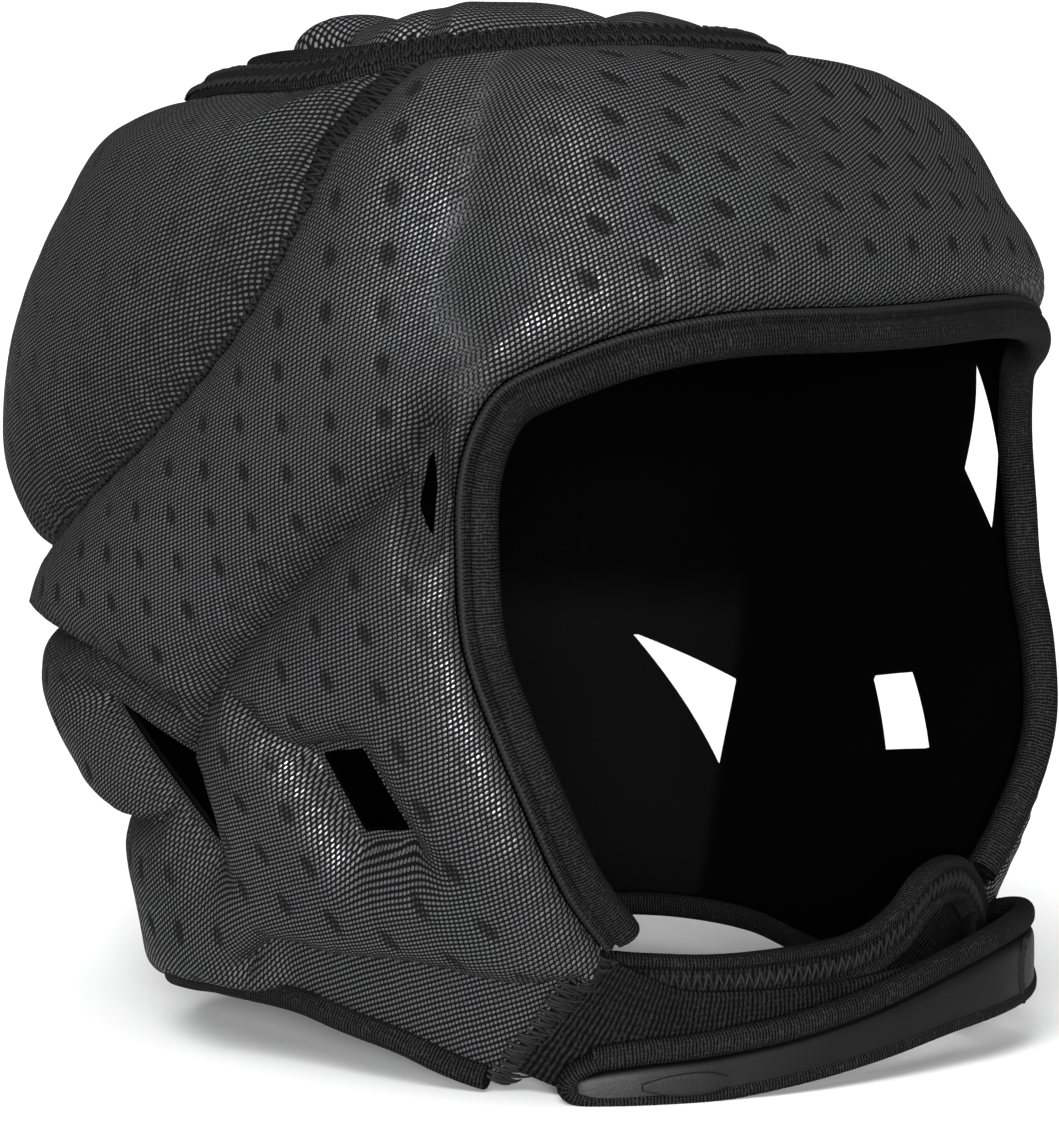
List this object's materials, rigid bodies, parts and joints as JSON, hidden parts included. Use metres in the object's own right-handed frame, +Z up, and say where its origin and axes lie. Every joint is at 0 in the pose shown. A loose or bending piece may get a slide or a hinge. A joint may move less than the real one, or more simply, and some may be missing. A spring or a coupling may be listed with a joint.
{
  "type": "soft shell helmet",
  "caption": "Padded soft shell sports helmet: quilted mesh panels over a smooth lining, pierced side vents, bound edges, a sewn crown panel and a fabric chin strap.",
  "frame": {"origin": "middle of the helmet's footprint on the surface it rests on", "axes": "+Z up, -Y out of the face opening, -X toward the wearer's right"},
  "size_m": [0.1982, 0.2208, 0.22],
  "materials": {
    "mesh": "black warp-knit mesh over foam padding",
    "binding": "black ribbed jersey binding",
    "knit": "black ribbed knit, zigzag stitched",
    "tab": "smooth matte black coated foam",
    "patch": "smooth black patch"
  },
  "bodies": {
    "root": {"front_panel": "mesh", "rear_panel": "mesh", "crown_panel": "mesh", "face_binding": "binding", "neck_binding": "binding", "crown_binding": "binding", "crown_edge_right": "binding", "crown_edge_left": "binding", "strap_base": "knit", "inner_strap": "binding", "outer_tab": "tab", "tab_binding": "binding", "tab_patch": "patch"}
  },
  "joints": []
}
